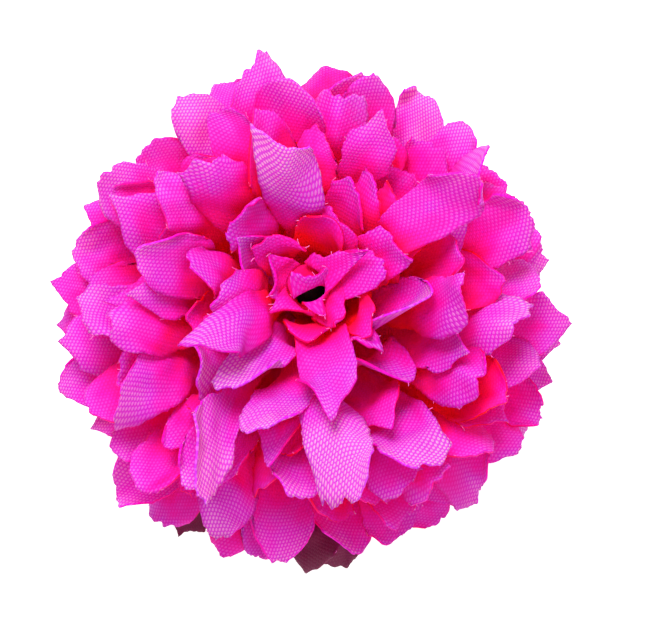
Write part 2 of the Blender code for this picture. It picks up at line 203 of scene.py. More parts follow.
def alongForRadius(level, radius):
    steps = np.linspace(0.0, 1.25, 501)
    return float(np.interp(radius, profile(level, steps)[0], steps))


def curveLength(level, start, end):
    radius, height = profile(level, np.linspace(start, end, 40))
    return float(np.hypot(np.diff(radius), np.diff(height)).sum())


def fullness(petal, station):
    place = 1.0 - (1.0 - station) * petal["length"] / (petalCut["bladeLength"] * petal["width"])
    return np.interp(place, petalCut["places"], petalCut["shares"])


def reachAcross(petal, across):
    side = np.abs(across)
    if petal["style"] == "rounded":
        return 1.0 - petal["drop"] * (1.0 - np.sqrt(np.clip(1.0 - side**2, 0.0, 1.0)))
    if petal["style"] == "blunt":
        return 1.0 - petal["drop"] * smooth(0.55, 1.0, side) - petal["slant"] * across
    return 1.0 - petal["drop"] * side


# how far a place on the petal stands above its sheet's curve
def push(petal, station, across):
    body = smooth(0.45, 0.9, station)
    hollow = petal["cup"] * (across**2 - 0.5) * body
    fold = petal["crease"] * (np.abs(across) - 0.5) * body
    twist = petal["roll"] * across * smooth(0.45, 1.0, station)
    curl = petal["curl"] * (smooth(0.6, 1.1, station) - 0.896 * station**2)
    wave = petal["wave"] * np.sin(petal["phase"] + 7.0 * station) * across * smooth(0.5, 0.8, station)
    return hollow + fold + twist + curl + wave


def settled(station):
    return pile["settle"] * smooth(0.2, 0.65, station)


def raised(petal, station, across):
    stations = petalCut["stations"]
    left, middle, right = [np.interp(station, stations, petal["raise"][:, column]) for column in range(3)]
    return middle + np.where(across < 0.0, middle - left, right - middle) * across


def centreBearing(petal, station):
    turn = petal["bearing"] - petal["root"]
    bend = petal["sweep"] * np.sin(math.pi * np.clip(station, 0.0, 1.0))
    start = turn * smooth(-0.1, 1.0, 0.0) * (1.0 - station)
    return petal["root"] + turn * smooth(-0.1, 1.0, station) - start + bend


def drawPetals():
    chance = random.Random(pile["seed"])
    sheets = []
    for number, tips in enumerate(petalTips):
        level = number / (sheetCount - 1)
        ring = (pile["lowRing"] + (pile["topRing"] - pile["lowRing"]) * smooth(0.55, 1.0, level)) * mm
        ordered = sorted(tips)
        step = 360.0 / len(ordered)
        offset = sum(tip[0] - place * step for place, tip in enumerate(ordered)) / len(ordered)
        petals = []
        for place, (bearing, reach, cut) in enumerate(ordered):
            style = tipCuts[cut]
            drop = petalCut["drops"][style]
            start = alongForRadius(level, ring)
            end = alongForRadius(level, reach * mm)
            length = curveLength(level, start, end)
            width = chance.uniform(0.9, 1.1) * petalCut["widths"][number] * mm
            lean = petalCut["leans"][number]
            petals.append({
                "number": number,
                "bearing": math.radians(bearing),
                "root": math.radians(offset + place * step),
                "reach": reach * mm,
                "drawn": end,
                "along": end,
                "start": start,
                "width": width,
                "length": length,
                "style": style,
                "drop": chance.uniform(*drop) * width / petalCut["widths"][5] / length,
                "slant": chance.uniform(-1.1, 1.1) * mm / length,
                "cup": chance.choice((-0.9, 0.9, 1.5)) * chance.uniform(0.5, 1.1) * lean * mm,
                "crease": chance.choice((-0.8, 0.0, 0.7, 0.7)) * chance.uniform(0.5, 1.0) * lean * mm,
                "roll": chance.uniform(-2.4, 2.4) * lean * mm,
                "curl": chance.uniform(-2.4, 1.6) * lean * mm,
                "wave": chance.uniform(-0.35, 0.35) * mm,
                "phase": chance.uniform(0.0, 6.28),
                "sweep": math.radians(chance.uniform(-8.0, 8.0)) * lean,
                "raise": np.zeros((6, 3)),
            })
        sheets.append({"number": number, "level": level, "ring": ring, "petals": petals})
    return sheets


# cuts a petal longer or shorter, so that its tip ends at its reach once it is laid
def fitLength(sheet, petal):
    tipGap = sheetGap(sheet["level"], petal["along"])
    shift = clothPush(petal, 1.0, 0.0) / tipGap + petal["raise"][-1, 1] - settled(1.0)
    found = alongForRadius(sheet["level"] + shift / (sheetCount - 1), petal["reach"])
    petal["along"] = min(max(found, pile["shortest"] * petal["drawn"]), pile["longest"] * petal["drawn"])
    petal["length"] = curveLength(sheet["level"], petal["start"], petal["along"])


# raises each petal until it clears all that lies beneath it, as the solids are
def layDown(sheets):
    steps = np.linspace(0.0, 1.2, 61)
    bearings = np.radians(np.arange(0.0, 360.0, 0.5))
    stations = petalCut["stations"]
    top = np.full((len(steps), len(bearings)), -5.0)
    gridSteps, gridBearings = np.meshgrid(steps, bearings, indexing="ij")
    for sheet in sheets:
        level = sheet["level"]
        margin = (cloth["thickness"] + cloth["clearance"]) * mm / sheetGap(level, steps)
        radius = profile(level, steps)[0][:, None]
        gap = sheetGap(level, gridSteps)
        for petal in sheet["petals"]:
            for fitting in range(pile["fittings"]):
                if fitting:
                    fitLength(sheet, petal)
                station = (gridSteps - petal["start"]) / (petal["along"] - petal["start"])
                half = 0.5 * petal["width"] * fullness(petal, station)
                away = (gridBearings - centreBearing(petal, station) + math.pi) % (2.0 * math.pi) - math.pi
                across = away * radius / half
                edge = 0.45 * mm / half
                end = reachAcross(petal, np.clip(across, -1.0, 1.0))
                under = (np.abs(across) < 1.0 + edge) & (station > 0.12) & (station < end + 0.03)
                across = np.clip(across, -1.0, 1.0)
                height = sheet["number"] - settled(station) + clothPush(petal, station, across) / gap
                short = np.where(under, top + margin[:, None] - height, 0.0)
                for place in range(1, len(stations)):
                    before = stations[place - 1] - 0.01
                    after = stations[min(place + 1, len(stations) - 1)] + 0.02
                    for column in range(3):
                        beside = np.abs(across - (column - 1)) <= 1.02
                        near = under & beside & (station > before) & (station < after)
                        most = max(short[near].max(), 0.0) if near.any() else 0.0
                        heldLow = place == 1 and sheet is not sheets[-1]
                        petal["raise"][place, column] = min(most, pile["rootRaise"]) if heldLow else most
            lifted = height + raised(petal, station, across)
            top = np.where(under & (lifted > top), lifted, top)


# what the cloth has beyond the solids: its own width, cut, ripple and curl, lengths in mm
cloth = {
    "thickness": 0.2,
    "narrower": (0.88, 1.0),
    "fullWidthLevels": (0.75, 0.9),
    "calmer": 0.65,
    "calmerLevels": (0.72, 0.95),
    "columns": 22,
    "strapRows": 8,
    "bladeRows": 36,
    "clearance": 0.3,
    "roll": 2.4,
    "cup": 1.4,
    "ripple": 0.6,
    "tipCurl": (-2.4, 1.7),
    "cornerCurl": 2.0,
    "crumple": 0.2,
    "cutWander": 0.28,
    "cutTeeth": 0.12,
    # painted light: the outer sheets are painted paler
    "outerPaintedPaler": 0.8,
    "seed": 7,
    "innermostLeanIn": (1.0, 3.4, 1.0, 0.8, 0.4),
    # sheet and bearing of petals painted paler as if lit (above 0) and deeper as if shaded (below 0),
    # painted light and shade; at -9.0 a petal is painted dark as in shadow
    "paintedLightByPetal": {
        (7, 94): -2.4, (7, 130): -2.2, (5, 152): -1.6, (6, 330): -1.8, (8, 10): -1.2, (9, 351): -1.0,
        (4, 122): 1.4, (11, 150): 2.4, (10, 348): 2.2, (9, 312): 2.2, (8, 218): 1.4, (11, 237): 1.6,
        (9, 281): 1.4, (10, 254): 1.0, (7, 302): 1.2, (2, 87): -1.6, (1, 269): -9.0, (1, 250): -1.0,
        (10, 108): -2.0, (10, 30): -1.2, (11, 278): -0.8,
        # painted shadow: these lowest petals are painted dark
        (0, 238): -9.0, (0, 255): -9.0, (0, 278): -9.0, (0, 306): -9.0,
    },
}


def drawFineCut(sheets):
    chance = random.Random(cloth["seed"])
    for sheet in sheets:
        number, level = sheet["number"], sheet["level"]
        lively = 1.0 - cloth["calmer"] * smooth(*cloth["calmerLevels"], level)
        cutAway = 1.0 - smooth(*cloth["fullWidthLevels"], level)
        for petal in sheet["petals"]:
            bearing = round(math.degrees(petal["bearing"]))
            # each petal's tone differs at random, with painted light on top: outer sheets painted paler, and
            # the listed petals paler as if lit and deeper as if shaded
            petal["tint"] = chance.uniform(-1.0, 1.0) + cloth["outerPaintedPaler"] * (0.6 - level)
            petal["tint"] += cloth["paintedLightByPetal"].get((number, bearing), 0.0)
            petal["width"] *= 1.0 - (1.0 - chance.uniform(*cloth["narrower"])) * cutAway
            petal["ripples"] = []
            for side in (-1.0, 1.0):
                size = chance.uniform(0.3, 1.0) * cloth["ripple"] * mm
                petal["ripples"].append((side, size, chance.uniform(9.0, 19.0), chance.uniform(0.0, 6.28)))
            petal["tipCurl"] = chance.uniform(*cloth["tipCurl"]) * lively * mm
            petal["fineRoll"] = chance.uniform(-1.0, 1.0) * cloth["roll"] * lively * mm
            petal["fineCup"] = chance.uniform(-0.6, 1.0) * cloth["cup"] * lively * mm
            petal["cornerCurl"] = chance.choice((0.0, 0.6, 1.0, -0.8)) * cloth["cornerCurl"] * lively * mm
            petal["corner"] = chance.choice((-1.0, 1.0))
            petal["crumples"] = [
                (chance.uniform(-2.2, 2.2), chance.uniform(-2.2, 2.2), chance.uniform(0.0, 6.28))
                for _ in range(5)
            ]
            petal["cutSeed"] = chance.randrange(100000)
            petal["leanIn"] = 0.0
            petal["laidLength"] = None
            petal["drop"] *= lively
            petal["ragged"] = lively
    for petal, leanIn in zip(sheets[-1]["petals"], cloth["innermostLeanIn"]):
        petal["leanIn"] = leanIn * mm


# ripples at the sides, curled tip and corner, a twist and a hollow of each petal's own
def clothPush(petal, here, across):
    extra = 0.0
    for which, size, often, phase in petal["ripples"]:
        extra = extra + size * np.sin(phase + often * here) * np.clip(across * which, 0.0, 1.0) ** 2
    extra = extra * smooth(0.45, 0.8, here)
    extra = extra + petal["tipCurl"] * (smooth(0.72, 1.06, here) ** 1.3 - 0.894 * here**2)
    extra = extra + petal["fineRoll"] * across * smooth(0.4, 0.95, here)
    extra = extra + petal["fineCup"] * (across**2 - 0.4) * smooth(0.4, 0.85, here)
    reachCorner = across * petal["corner"] * 0.6 + (here - 1.0) * petal["length"] / petal["width"]
    return push(petal, here, across) + extra + petal["cornerCurl"] * smooth(0.1, 0.62, reachCorner) ** 1.5


# smooth curve through values at the stations, with no overshoot
def through(places, values, at):
    slopes = np.diff(values) / np.diff(places)
    tangents = np.zeros(len(values))
    same = slopes[:-1] * slopes[1:] > 0.0
    tangents[1:-1][same] = 2.0 * (slopes[:-1] * slopes[1:])[same] / (slopes[:-1] + slopes[1:])[same]
    tangents[0], tangents[-1] = slopes[0], slopes[-1]
    piece = np.clip(np.searchsorted(places, at, side="right") - 1, 0, len(places) - 2)
    width = np.diff(places)[piece]
    part = np.clip((at - places[piece]) / width, 0.0, 1.0)
    rest = 1.0 - part
    return (
        values[piece] * (1.0 + 2.0 * part) * rest**2
        + values[piece + 1] * (3.0 - 2.0 * part) * part**2
        + width * (tangents[piece] * part * rest**2 - tangents[piece + 1] * rest * part**2)
    )


# uneven line from start to 1, drawn at so many even places
def rough(noise, at, start, places):
    return np.interp(at, np.linspace(start, 1.0, places), noise.uniform(-1.0, 1.0, places))


# position and flat place on the cut cloth of every (station, across) of one petal
def petalPoints(sheet, petal, station, across):
    noise = np.random.RandomState(petal["cutSeed"])
    length, width = petal["length"], petal["width"]
    stations = np.array(petalCut["stations"])
    # the cut wanders a little, and steps from yarn to yarn
    tipTeeth = rough(noise, across, -1.0, 47) * cloth["cutTeeth"]
    tipTeeth = tipTeeth + rough(noise, across, -1.0, 9) * cloth["cutWander"]
    tipTeeth = tipTeeth * petal["ragged"]
    leftSide = across < 0.0
    teeth = np.where(leftSide, rough(noise, station, 0.0, 91), rough(noise, station, 0.0, 91))
    wander = np.where(leftSide, rough(noise, station, 0.0, 13), rough(noise, station, 0.0, 13))
    sideTeeth = teeth * cloth["cutTeeth"] + wander * cloth["cutWander"]
    here = station * (reachAcross(petal, across) + tipTeeth * mm / length * smooth(0.85, 1.0, station))
    along = petal["start"] + (petal["along"] - petal["start"]) * here
    sideTeeth = sideTeeth * petal["ragged"]
    half = 0.5 * width * fullness(petal, here) + sideTeeth * mm * smooth(0.75, 1.0, np.abs(across))
    flatAcross = across * half
    flatAlong = here * length
    if petal["laidLength"] is not None:
        flatAlong = np.interp(here, np.linspace(0.0, 1.3, len(petal["laidLength"])), petal["laidLength"])
    extra = clothPush(petal, here, across)
    for turnAcross, turnAlong, phase in petal["crumples"]:
        extra = extra + 0.3 * cloth["crumple"] * mm * np.sin(
            phase + turnAcross * flatAcross / mm + turnAlong * flatAlong / mm
        ) * smooth(0.4, 0.7, here)
    gap = sheetGap(sheet["level"], along)
    left, middle, right = [through(stations, petal["raise"][:, column], here) for column in range(3)]
    lifted = middle + 0.5 * (right - left) * across + (0.5 * (left + right) - middle) * across**2
    shift = extra / gap + lifted - settled(here)
    level = sheet["level"] + shift / (sheetCount - 1)
    radius, height = profile(level, along)
    bearing = centreBearing(petal, here) + flatAcross / radius
    bow = petal["leanIn"] * smooth(0.3, 1.0, here)
    points = np.stack([
        radius * np.cos(bearing) - bow * math.cos(petal["bearing"]),
        radius * np.sin(bearing) - bow * math.sin(petal["bearing"]),
        height,
    ], 1)
    # place on the round blank that the petals were cut from, in mm
    reach = (sheet["ring"] + flatAlong) / mm
    turnCos, turnSin = math.cos(petal["root"]), math.sin(petal["root"])
    flat = np.stack([
        reach * turnCos - flatAcross / mm * turnSin,
        reach * turnSin + flatAcross / mm * turnCos,
    ], 1)
    return points, flat, here


# the cloth's own length from the root to each place, along the middle of each laid petal
def measureLaid(sheets):
    stations = np.linspace(0.0, 1.3, 40)
    middle = np.zeros(len(stations))
    for sheet in sheets:
        for petal in sheet["petals"]:
            points, _, here = petalPoints(sheet, petal, stations, middle)
            steps = np.linalg.norm(np.diff(points, axis=0), axis=1)
            along = np.concatenate([[0.0], np.cumsum(steps)])
            petal["laidLength"] = np.interp(stations, here, along)


# how much of the sky each place on the petals sees, from rays among coarse copies of them all; the petals'
# painted shade and painted highlight are read from it
skySight = {
    "rows": 17,
    "columns": 7,
    "rays": 28,
    "lift": 0.5,
    "sight": 14.0,
}


def seeTheSky(sheets):
    rows, columns, rays = skySight["rows"], skySight["columns"], skySight["rays"]
    lift, sight = skySight["lift"] * mm, skySight["sight"] * mm
    stationGrid, acrossGrid = np.meshgrid(
        np.linspace(0.0, 1.0, rows), np.linspace(-1.0, 1.0, columns), indexing="ij"
    )
    points = []
    faces = []
    petals = [(sheet, petal) for sheet in sheets for petal in sheet["petals"]]
    for sheet, petal in petals:
        first = len(points)
        points += petalPoints(sheet, petal, stationGrid.ravel(), acrossGrid.ravel())[0].tolist()
        for row in range(rows - 1):
            for column in range(columns - 1):
                corner = first + row * columns + column
                faces.append((corner, corner + 1, corner + columns + 1, corner + columns))
    tree = BVHTree.FromPolygons(points, faces)
    turn = math.pi * (3.0 - math.sqrt(5.0))
    directions = []
    for ray in range(rays):
        z = 1.0 - (ray + 0.5) * 1.5 / rays
        level = math.sqrt(max(1.0 - z * z, 0.0))
        directions.append(Vector((level * math.cos(turn * ray), level * math.sin(turn * ray), z)))
    for order, (sheet, petal) in enumerate(petals):
        first = order * rows * columns
        seen = []
        for point in points[first:first + rows * columns]:
            start = Vector(point)
            hits = [tree.ray_cast(start + direction * lift, direction, sight)[0] for direction in directions]
            clear = sum(hit is None for hit in hits)
            seen.append(clear / rays)
        petal["sky"] = np.array(seen).reshape(rows, columns)
    everySky = np.concatenate([petal["sky"][9:].ravel() for _, petal in petals])
    print("sky seen:", np.percentile(everySky, (5, 25, 50, 75, 95)).round(2))


def skyAt(petal, station, across):
    rows, columns = petal["sky"].shape
    row = np.clip(station, 0.0, 1.0) * (rows - 1)
    column = (np.clip(across, -1.0, 1.0) + 1.0) / 2.0 * (columns - 1)
    low, left = np.minimum(row.astype(int), rows - 2), np.minimum(column.astype(int), columns - 2)
    up, over = row - low, column - left
    sky = petal["sky"]
    return (
        sky[low, left] * (1 - up) * (1 - over) + sky[low + 1, left] * up * (1 - over)
        + sky[low, left + 1] * (1 - up) * over + sky[low + 1, left + 1] * up * over
    )


def makePetalSheet(sheet, materials):
    number = sheet["number"]
    bm = bmesh.new()
    uvLayer = bm.loops.layers.uv.new("flatCloth")
    skyLayer = bm.verts.layers.float.new("openSky")
    tintLayer = bm.verts.layers.float.new("petalTint")
    flats = []
    height = float(profile(sheet["level"], 0.0)[1])
    # the ring that the petals hang together by
    rings = []
    for radius in (pile["holeRadius"] * mm, sheet["ring"] * 0.6, sheet["ring"] + 0.3 * mm):
        made = bmesh.ops.create_circle(bm, segments=72, radius=radius)
        bmesh.ops.translate(bm, verts=made["verts"], vec=(0.0, 0.0, height))
        rings.append(made["verts"])
    for inner, outer in zip(rings, rings[1:]):
        edges = {edge for vert in inner + outer for edge in vert.link_edges}
        bmesh.ops.bridge_loops(bm, edges=[edge for edge in edges if edge.is_boundary or edge.is_wire])
    flats += [(vert.co.x / mm, vert.co.y / mm) for vert in bm.verts]
    rows = cloth["strapRows"] + cloth["bladeRows"]
    for petal in sheet["petals"]:
        made = bmesh.ops.create_grid(bm, x_segments=cloth["columns"], y_segments=rows, size=1.0)
        verts = made["verts"]
        across = np.array([vert.co.x for vert in verts])
        row = np.array([vert.co.y for vert in verts]) * 0.5 + 0.5
        # rows lie close in the blade and far apart on the strap
        bladeStart = max(1.0 - 1.45 * petalCut["bladeLength"] * petal["width"] / petal["length"], 0.2)
        share = cloth["strapRows"] / rows
        station = np.interp(row, (0.0, share, 1.0), (0.0, bladeStart, 1.0))
        points, flat, here = petalPoints(sheet, petal, station, across)
        # the sky each place sees, which sets its painted shade and painted highlight
        sky = skyAt(petal, station, across)
        for vert, point, seen in zip(verts, points.tolist(), sky.tolist()):
            vert.co = point
            vert[skyLayer] = seen
            vert[tintLayer] = petal["tint"]
        flats += flat.tolist()
    bm.verts.index_update()
    for face in bm.faces:
        face.smooth = True
        for loop in face.loops:
            loop[uvLayer].uv = flats[loop.vert.index]
    bmesh.ops.recalc_face_normals(bm, faces=bm.faces)
    up = sum(face.normal.z * face.calc_area() for face in bm.faces)
    if up < 0.0:
        bmesh.ops.reverse_faces(bm, faces=bm.faces)
    mesh = bpy.data.meshes.new(f"petalSheet{number + 1:02d}")
    bm.to_mesh(mesh)
    bm.free()
    piece = bpy.data.objects.new(mesh.name, mesh)
    bpy.context.scene.collection.objects.link(piece)
    for material in materials:
        mesh.materials.append(material)
    shell = piece.modifiers.new("clothThickness", "SOLIDIFY")
    shell.thickness = cloth["thickness"] * mm
    shell.offset = 0.0
    shell.material_offset_rim = 1
    return piece


# short ends of yarn that have come loose along the cut
fray = {
    "yarnsPerPetal": 5,
    "width": 0.06,
    "thickness": 0.05,
    "length": (0.15, 0.6),
    "onSides": 0.4,
    "bend": 0.45,
    "steps": 5,
    "seed": 19,
}


def makeFrayedYarns(sheets, material):
    chance = random.Random(fray["seed"])
    bm = bmesh.new()
    steps = fray["steps"]
    for sheet in sheets:
        for petal in sheet["petals"]:
            for _ in range(fray["yarnsPerPetal"]):
                # a place on the cut, and one a little inside it
                onSide = chance.random() < fray["onSides"]
                side = chance.choice((-1.0, 1.0))
                station = chance.uniform(0.7, 1.0) if onSide else 1.0
                across = side if onSide else chance.choice((side, chance.uniform(-1.0, 1.0)))
                stations = np.array([station - (0.0 if onSide else 0.04), station])
                acrosses = np.array([across * (0.86 if onSide else 1.0), across])
                points = petalPoints(sheet, petal, stations, acrosses)[0]
                inner, edge = Vector(points[0]), Vector(points[1])
                outward = (edge - inner).normalized()
                bend = Vector([chance.gauss(0.0, 1.0) for _ in range(3)])
                bend = (bend - bend.dot(outward) * outward).normalized()
                length = chance.uniform(*fray["length"]) * mm
                made = bmesh.ops.create_grid(bm, x_segments=1, y_segments=steps, size=1.0)
                root = inner + (edge - inner) * 0.5
                broad = outward.cross(bend) * fray["width"] * mm / 2.0
                for vert in made["verts"]:
                    along = vert.co.y * 0.5 + 0.5
                    curve = outward * along + bend * fray["bend"] * along**2
                    vert.co = root + curve * length + broad * vert.co.x * (1.0 - 0.5 * along)
    for face in bm.faces:
        face.smooth = True
    mesh = bpy.data.meshes.new("frayedYarns")
    bm.to_mesh(mesh)
    bm.free()
    mesh.materials.append(material)
    piece = bpy.data.objects.new(mesh.name, mesh)
    bpy.context.scene.collection.objects.link(piece)
    shell = piece.modifiers.new("yarnThickness", "SOLIDIFY")
    shell.thickness = fray["thickness"] * mm
    shell.offset = 0.0
    return piece


# one output socket of a node tree, so that shader maths reads as sums
class Wire:
    def __init__(self, tree, socket=None):
        self.tree = tree
        self.socket = socket

    # any node: its settings first, then the values or links of its sockets
    def node(self, kind, settings=None, sockets=None, output=0):
        made = self.tree.nodes.new(kind)
        for name, value in (settings or {}).items():
            if name == "stops":
                ramp = made.color_ramp.elements
                while len(ramp) < len(value):
                    ramp.new(1.0)
                for stop, (place, colour) in zip(ramp, value):
                    stop.position = place
                    stop.color = (*colour, 1.0)
            else:
                setattr(made, name, value)
        for name, value in (sockets or {}).items():
            if isinstance(value, Wire):
                self.tree.links.new(value.socket, made.inputs[name])
            else:
                made.inputs[name].default_value = value
        return Wire(self.tree, made.outputs[output] if len(made.outputs) else None)

    def maths(self, operation, *others):
        return self.node("ShaderNodeMath", {"operation": operation}, dict(enumerate((self, *others))))

    def clamped(self):
        return self.node("ShaderNodeClamp", {}, {"Value": self})

    def mixed(self, first, second):
        settings = {"data_type": "RGBA"}
        sockets = {"Factor": self}
        sockets[6] = first if isinstance(first, Wire) else (*first, 1.0)
        sockets[7] = second if isinstance(second, Wire) else (*second, 1.0)
        return self.node("ShaderNodeMix", settings, sockets, 2)

    def __add__(self, other):
        return self.maths("ADD", other)

    __radd__ = __add__

    def __sub__(self, other):
        return self.maths("SUBTRACT", other)

    def __rsub__(self, other):
        return self.node("ShaderNodeMath", {"operation": "SUBTRACT"}, {0: other, 1: self})

    def __mul__(self, other):
        return self.maths("MULTIPLY", other)

    __rmul__ = __mul__

    def __truediv__(self, other):
        return self.maths("DIVIDE", other)

    def __pow__(self, other):
        return self.maths("POWER", other)


def newMaterial(name):
    material = bpy.data.materials.new(name)
    material.use_nodes = True
    material.node_tree.nodes.clear()
    return material, Wire(material.node_tree)


# the dye, with painted light on it: both colour ramps run from painted shade (cavity, shaded) through the
# dye (body) to painted highlight (open, pale), by how much sky each place sees
petalDyeAndPaintedLight = {
    "warpPitch": 0.158,
    "weftPitch": 0.317,
    "ground": {
        "cavity": (1.0, 0.0, 0.008),
        "shaded": (1.0, 0.0, 0.16),
        "body": (0.90, 0.001, 0.50),
        "open": (0.66, 0.014, 0.80),
        "pale": (0.68, 0.080, 0.94),
    },
    "yarnTopsAndHighlights": {
        "cavity": (1.0, 0.0, 0.012),
        "shaded": (1.0, 0.0, 0.22),
        "body": (0.95, 0.018, 0.76),
        "open": (0.80, 0.16, 1.0),
        "pale": (0.95, 0.55, 1.0),
    },
    "openings": {"cavity": 0.08, "shaded": 0.26, "body": 0.46, "open": 0.66, "pale": 0.92},
    "paintedShadow": (0.17, 0.001, 0.05),
    "looseYarn": (1.0, 0.5, 1.0),
    "throughLight": (1.0, 0.0, 0.34),
    "translucency": 0.44,
    "cloudiness": 0.16,
    "tintStrength": 0.12,
    "dotSlant": (1.35, 0.65),
    "dotStrength": 0.9,
    "matte": 0.95,
    "gloss": 0.5,
    "specular": 0.25,
    "bumpDepth": 0.05,
    # the cut edge: painted shade, moved towards the deeper end of the ramp, with fainter dots and less light
    # through it
    "rim": {"shade": 0.25, "dotStrength": 0.35, "specular": 0.1, "translucency": 0.4},
}


def wovenCloth(name, rim):
    material, wire = newMaterial(name)
    cutEdge = petalDyeAndPaintedLight["rim"]
    flat = wire.node("ShaderNodeUVMap", {"uv_map": "flatCloth"})
    x = wire.node("ShaderNodeSeparateXYZ", {}, {0: flat}, 0) / petalDyeAndPaintedLight["warpPitch"]
    y = wire.node("ShaderNodeSeparateXYZ", {}, {0: flat}, 1) / petalDyeAndPaintedLight["weftPitch"]
    # plain weave: each yarn goes over one and under the next
    warpNumber = x.maths("FLOOR")
    weftNumber = y.maths("FLOOR")
    warpRound = ((x - warpNumber) * math.pi).maths("SINE")
    weftRound = ((y - weftNumber) * math.pi).maths("SINE")
    warpOver = ((y - 0.5 + warpNumber) * math.pi).maths("COSINE") * 0.5 + 0.5
    weftOver = ((x + 0.5 + weftNumber) * math.pi).maths("COSINE") * 0.5 + 0.5
    warpHeight = warpRound ** 0.7 * (warpOver * 0.85 + 0.15)
    weftHeight = weftRound ** 0.7 * (weftOver * 0.6 + 0.1)
    height = warpHeight.maths("MAXIMUM", weftHeight)
    openSky = wire.node("ShaderNodeAttribute", {"attribute_name": "openSky"}, {}, 2)
    tint = wire.node("ShaderNodeAttribute", {"attribute_name": "petalTint"}, {}, 2)
    cloudy = wire.node("ShaderNodeTexNoise", {}, {"Vector": flat, "Scale": 0.6, "Detail": 2.0}, 0)
    # painted shade and highlight: the ramp is read at the sky each place sees, with cloudy tone and each
    # petal's tone and painted light added
    paintedLightLevel = openSky + (cloudy - 0.5) * petalDyeAndPaintedLight["cloudiness"] + tint * petalDyeAndPaintedLight["tintStrength"]
    # painted shade on the cut edge
    paintedLightLevel = paintedLightLevel - (cutEdge["shade"] if rim else 0.0)
    ground, yarnTopsAndHighlights = [
        wire.node(
            "ShaderNodeValToRGB",
            {"stops": [(place, petalDyeAndPaintedLight[part][name]) for name, place in petalDyeAndPaintedLight["openings"].items()]},
            {"Fac": paintedLightLevel},
        )
        for part in ("ground", "yarnTopsAndHighlights")
    ]
    # the raised warp floats are slanted dots in staggered rows, carrying painted highlights that grow paler
    # where more sky is seen
    middleX = (x - 0.5) * math.pi
    middleY = (y - 0.5) * math.pi
    oneWay, otherWay = petalDyeAndPaintedLight["dotSlant"]
    slanted = (middleX - middleY).maths("COSINE") * oneWay + (middleX + middleY).maths("COSINE") * otherWay
    rounded = slanted + (middleY * 2.0).maths("COSINE")
    dots = ((rounded + 0.3) / 1.2).clamped()
    dotStrength = cutEdge["dotStrength"] if rim else petalDyeAndPaintedLight["dotStrength"]
    # painted shadow: a few of the lowest petals are painted dark as if they hung in shadow, and no light
    # comes through them
    paintedShadowMask = (tint * -0.5 - 2.0).clamped()
    dyeAndPaintedLight = paintedShadowMask.mixed((dots * dotStrength).mixed(ground, yarnTopsAndHighlights), petalDyeAndPaintedLight["paintedShadow"])
    bump = wire.node(
        "ShaderNodeBump", {}, {"Strength": 1.0, "Distance": petalDyeAndPaintedLight["bumpDepth"] * mm, "Height": height}
    )
    front = wire.node("ShaderNodeBsdfPrincipled", {}, {
        "Base Color": dyeAndPaintedLight,
        "Roughness": petalDyeAndPaintedLight["matte"] - ((openSky * 1.9 - 0.45).clamped() * petalDyeAndPaintedLight["gloss"]),
        "Specular IOR Level": cutEdge["specular"] if rim else petalDyeAndPaintedLight["specular"],
        "Specular Tint": (1.0, 0.85, 1.0, 1.0),
        "Normal": bump,
    })
    throughLight = (*petalDyeAndPaintedLight["throughLight"], 1.0)
    back = wire.node("ShaderNodeBsdfTranslucent", {}, {"Color": throughLight, "Normal": bump})
    factor = (1.0 - paintedShadowMask) * (petalDyeAndPaintedLight["translucency"] * (cutEdge["translucency"] if rim else 1.0))
    both = wire.node("ShaderNodeMixShader", {}, {0: factor, 1: front, 2: back})
    wire.node("ShaderNodeOutputMaterial", {}, {"Surface": both})
    return material


def looseYarn():
    material, wire = newMaterial("looseYarn")
    place = wire.node("ShaderNodeTexCoord", {}, {}, 3)
    patchy = wire.node("ShaderNodeTexNoise", {}, {"Vector": place, "Scale": 500.0, "Detail": 2.0}, 0)
    shade = (patchy * 0.8 - 0.1).clamped().mixed(petalDyeAndPaintedLight["ground"]["body"], petalDyeAndPaintedLight["looseYarn"])
    shader = wire.node("ShaderNodeBsdfPrincipled", {}, {"Base Color": shade, "Roughness": 0.6})
    wire.node("ShaderNodeOutputMaterial", {}, {"Surface": shader})
    return material


hubMoulding = {
    "turns": 96,
    "baseRadius": 9.0,
    "baseThickness": 1.5,
    "bossRadius": 4.2,
    "bossTop": 3.4,
    "postRadius": 0.9,
    "pinRadius": 1.4,
    "pinThickness": 1.1,
}


def blackPlastic():
    material, wire = newMaterial("blackMouldedPlastic")
    place = wire.node("ShaderNodeTexCoord", {}, {}, 3)
    grain = wire.node("ShaderNodeTexNoise", {}, {"Vector": place, "Scale": 2600.0, "Detail": 3.0}, 0)
    wear = wire.node("ShaderNodeTexNoise", {}, {"Vector": place, "Scale": 260.0, "Detail": 4.0}, 0)
    shade = (wear * 0.8).clamped().mixed((0.0015, 0.0015, 0.002), (0.006, 0.006, 0.007))
    bump = wire.node("ShaderNodeBump", {}, {"Strength": 0.35, "Distance": 0.03 * mm, "Height": grain})
    shader = wire.node("ShaderNodeBsdfPrincipled", {}, {
        "Base Color": shade, "Roughness": 0.5 + wear * 0.2, "Specular IOR Level": 0.2, "Normal": bump,
    })
    wire.node("ShaderNodeOutputMaterial", {}, {"Surface": shader})
    return material


